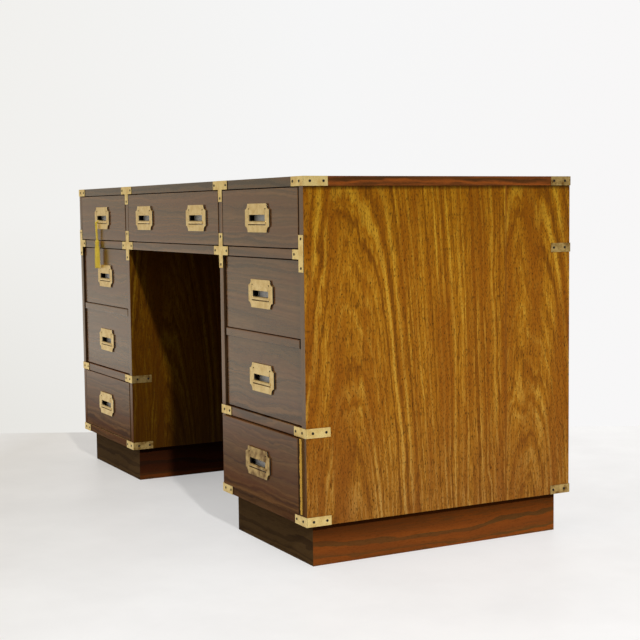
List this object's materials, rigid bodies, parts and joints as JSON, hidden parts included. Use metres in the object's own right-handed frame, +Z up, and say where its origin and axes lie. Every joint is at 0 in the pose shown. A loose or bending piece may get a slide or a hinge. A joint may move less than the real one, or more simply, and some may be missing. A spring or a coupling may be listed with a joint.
{
  "type": "campaign desk",
  "caption": "Kneehole pedestal writing desk with a row of drawers under the top, drawers in each pedestal, recessed bail pulls, brass straps and a key tassel.",
  "frame": {"origin": "on the floor under the middle of the case", "axes": "+X along the desk to the right end seen from the front, +Y from front to back, +Z up"},
  "size_m": [1.3762, 0.6521, 0.762],
  "materials": {
    "case_veneer": "satin varnish",
    "front_veneer": "satin varnish",
    "plinth_veneer": "satin varnish",
    "drawer_wood": "clear sealed",
    "brass": "aged lacquer",
    "screw_brass": "darkened",
    "tassel_yarn": "rayon yarn"
  },
  "bodies": {
    "case": {"back_corner_straps": "brass", "back_panel": "case_veneer", "desk_top": "case_veneer", "drawer_dividers": "drawer_wood", "drawer_runners": "drawer_wood", "front_corner_straps": "brass", "left_end_panel": "case_veneer", "left_kneehole_panel": "case_veneer", "left_pedestal_floor": "case_veneer", "left_plinth": "plinth_veneer", "lower_rails": "case_veneer", "right_end_panel": "case_veneer", "right_kneehole_panel": "case_veneer", "right_pedestal_floor": "case_veneer", "right_plinth": "plinth_veneer", "stile_crosses": "brass", "stile_tees": "brass", "strap_screws": "screw_brass", "top_row_rails": "case_veneer"},
    "top_left_drawer": {"top_left_front": "front_veneer", "top_left_box": "drawer_wood", "top_left_pull_plate": "brass"},
    "top_left_handle": {"top_left_bail": "brass"},
    "key_tassel": {"tassel_hitch": "tassel_yarn", "tassel_cord": "tassel_yarn", "tassel_head": "tassel_yarn", "tassel_skirt": "tassel_yarn"},
    "left_second_drawer": {"left_second_front": "front_veneer", "left_second_box": "drawer_wood", "left_second_pull_plate": "brass"},
    "left_second_handle": {"left_second_bail": "brass"},
    "left_third_drawer": {"left_third_front": "front_veneer", "left_third_box": "drawer_wood", "left_third_pull_plate": "brass"},
    "left_third_handle": {"left_third_bail": "brass"},
    "left_bottom_drawer": {"left_bottom_front": "front_veneer", "left_bottom_box": "drawer_wood", "left_bottom_pull_plate": "brass"},
    "left_bottom_handle": {"left_bottom_bail": "brass"},
    "top_right_drawer": {"top_right_front": "front_veneer", "top_right_box": "drawer_wood", "top_right_pull_plate": "brass"},
    "top_right_handle": {"top_right_bail": "brass"},
    "right_second_drawer": {"right_second_front": "front_veneer", "right_second_box": "drawer_wood", "right_second_pull_plate": "brass"},
    "right_second_handle": {"right_second_bail": "brass"},
    "right_third_drawer": {"right_third_front": "front_veneer", "right_third_box": "drawer_wood", "right_third_pull_plate": "brass"},
    "right_third_handle": {"right_third_bail": "brass"},
    "right_bottom_drawer": {"right_bottom_front": "front_veneer", "right_bottom_box": "drawer_wood", "right_bottom_pull_plate": "brass"},
    "right_bottom_handle": {"right_bottom_bail": "brass"},
    "centre_drawer": {"centre_front": "front_veneer", "centre_box": "drawer_wood", "centre_pull_plate": "brass"},
    "centre_left_handle": {"centre_left_bail": "brass"},
    "centre_right_handle": {"centre_right_bail": "brass"}
  },
  "joints": [
    {"name": "top_left_drawer_slide", "type": "slide", "parent": "case", "child": "top_left_drawer", "axis": [0, -1, 0], "range_m": [0, 0.4]},
    {"name": "top_left_handle_hinge", "type": "hinge", "parent": "top_left_drawer", "child": "top_left_handle", "pos_m": [-0.487, -0.3192, 0.6985], "axis": [-1, 0, 0], "range_deg": [0, 90]},
    {"name": "key_tassel_swing", "type": "hinge", "parent": "top_left_handle", "child": "key_tassel", "pos_m": [-0.5195, -0.3192, 0.6728], "axis": [-1, 0, 0], "range_deg": [-90, 0]},
    {"name": "left_second_drawer_slide", "type": "slide", "parent": "case", "child": "left_second_drawer", "axis": [0, -1, 0], "range_m": [0, 0.4]},
    {"name": "left_second_handle_hinge", "type": "hinge", "parent": "left_second_drawer", "child": "left_second_handle", "pos_m": [-0.487, -0.3139, 0.54375], "axis": [-1, 0, 0], "range_deg": [0, 90]},
    {"name": "left_third_drawer_slide", "type": "slide", "parent": "case", "child": "left_third_drawer", "axis": [0, -1, 0], "range_m": [0, 0.4]},
    {"name": "left_third_handle_hinge", "type": "hinge", "parent": "left_third_drawer", "child": "left_third_handle", "pos_m": [-0.487, -0.3139, 0.37075], "axis": [-1, 0, 0], "range_deg": [0, 90]},
    {"name": "left_bottom_drawer_slide", "type": "slide", "parent": "case", "child": "left_bottom_drawer", "axis": [0, -1, 0], "range_m": [0, 0.4]},
    {"name": "left_bottom_handle_hinge", "type": "hinge", "parent": "left_bottom_drawer", "child": "left_bottom_handle", "pos_m": [-0.487, -0.3192, 0.19725], "axis": [-1, 0, 0], "range_deg": [0, 90]},
    {"name": "top_right_drawer_slide", "type": "slide", "parent": "case", "child": "top_right_drawer", "axis": [0, -1, 0], "range_m": [0, 0.4]},
    {"name": "top_right_handle_hinge", "type": "hinge", "parent": "top_right_drawer", "child": "top_right_handle", "pos_m": [0.487, -0.3192, 0.6985], "axis": [-1, 0, 0], "range_deg": [0, 90]},
    {"name": "right_second_drawer_slide", "type": "slide", "parent": "case", "child": "right_second_drawer", "axis": [0, -1, 0], "range_m": [0, 0.4]},
    {"name": "right_second_handle_hinge", "type": "hinge", "parent": "right_second_drawer", "child": "right_second_handle", "pos_m": [0.487, -0.3139, 0.54375], "axis": [-1, 0, 0], "range_deg": [0, 90]},
    {"name": "right_third_drawer_slide", "type": "slide", "parent": "case", "child": "right_third_drawer", "axis": [0, -1, 0], "range_m": [0, 0.4]},
    {"name": "right_third_handle_hinge", "type": "hinge", "parent": "right_third_drawer", "child": "right_third_handle", "pos_m": [0.487, -0.3139, 0.37075], "axis": [-1, 0, 0], "range_deg": [0, 90]},
    {"name": "right_bottom_drawer_slide", "type": "slide", "parent": "case", "child": "right_bottom_drawer", "axis": [0, -1, 0], "range_m": [-0.008, 0.4]},
    {"name": "right_bottom_handle_hinge", "type": "hinge", "parent": "right_bottom_drawer", "child": "right_bottom_handle", "pos_m": [0.487, -0.3264, 0.19725], "axis": [-1, 0, 0], "range_deg": [0, 90]},
    {"name": "centre_drawer_slide", "type": "slide", "parent": "case", "child": "centre_drawer", "axis": [0, -1, 0], "range_m": [0, 0.4]},
    {"name": "centre_left_handle_hinge", "type": "hinge", "parent": "centre_drawer", "child": "centre_left_handle", "pos_m": [-0.16502, -0.3192, 0.6985], "axis": [-1, 0, 0], "range_deg": [0, 90]},
    {"name": "centre_right_handle_hinge", "type": "hinge", "parent": "centre_drawer", "child": "centre_right_handle", "pos_m": [0.16502, -0.3192, 0.6985], "axis": [-1, 0, 0], "range_deg": [0, 90]}
  ],
  "couplings": [
    {"joint": "key_tassel_swing", "follows": "top_left_handle_hinge", "ratio": -1}
  ]
}
